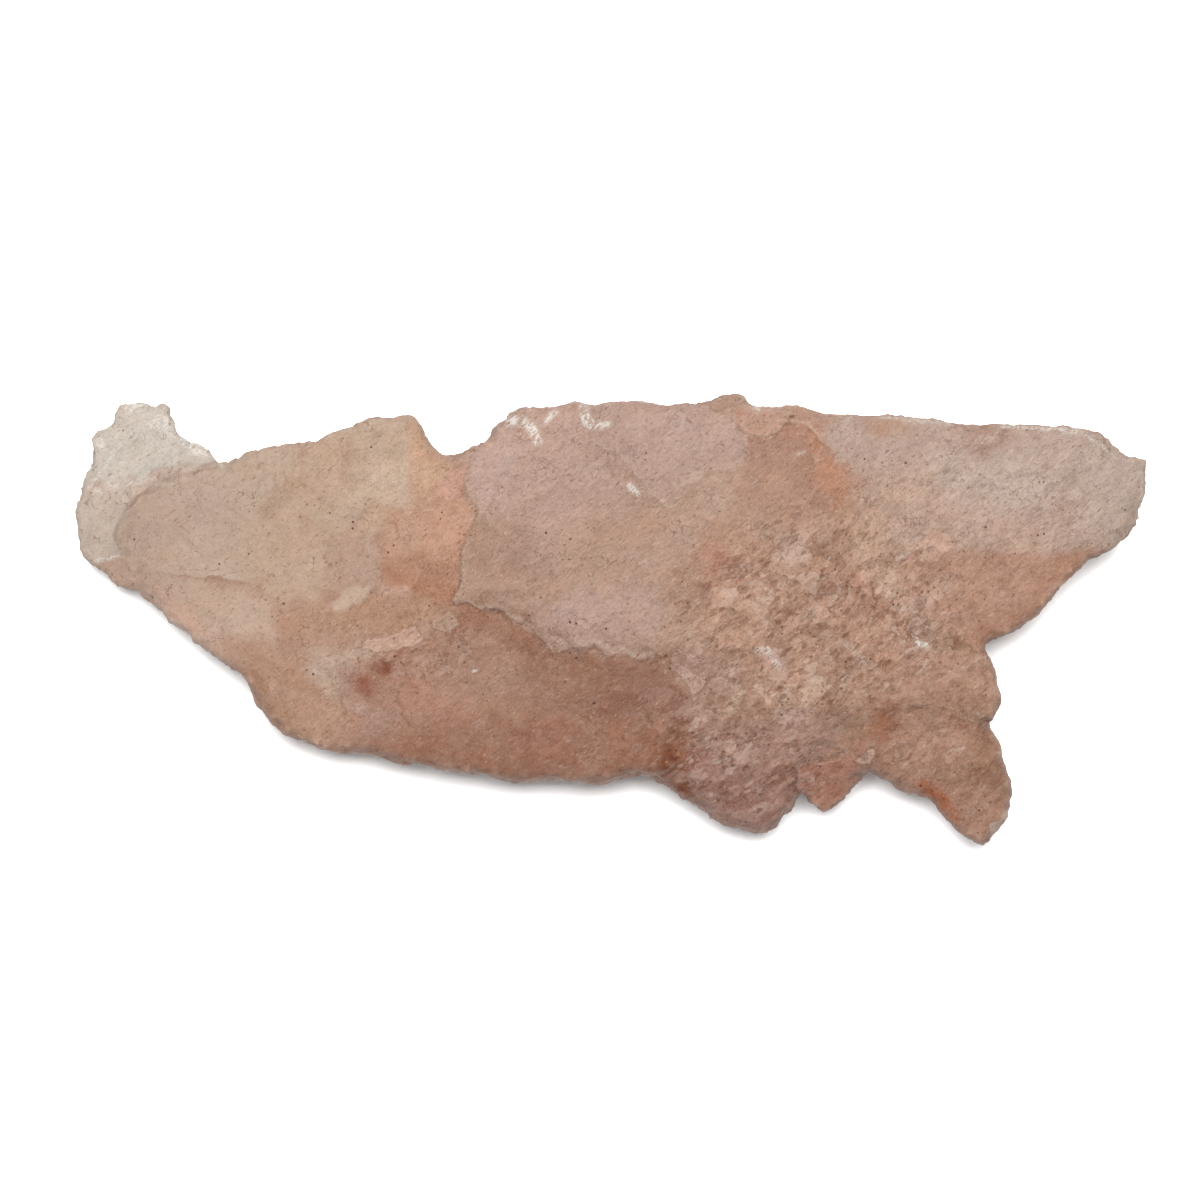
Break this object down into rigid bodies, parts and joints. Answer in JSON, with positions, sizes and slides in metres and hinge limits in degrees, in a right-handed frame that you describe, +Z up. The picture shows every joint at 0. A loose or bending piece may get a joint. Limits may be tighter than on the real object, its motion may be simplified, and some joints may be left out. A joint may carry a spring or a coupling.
{
  "type": "rough morganite crystal fragment",
  "caption": "Long, ragged piece of rough pink-brown morganite: tilted, translucent cleavage blades grown into each other, lying flat.",
  "frame": {"origin": "on the surface that the stone lies on, under the middle of its box", "axes": "+X along the stone from its pale tip to its right arm, +Y across it to its long straight edge, +Z up"},
  "size_m": [0.0664, 0.0278, 0.0107],
  "materials": {
    "morganite_stone": "cloudy translucent pink-brown beryl with a waxy, finely pitted broken surface; beige, orange and mauve zones, pale clear tip"
  },
  "bodies": {
    "root": {"morganite": "morganite_stone"}
  },
  "joints": []
}
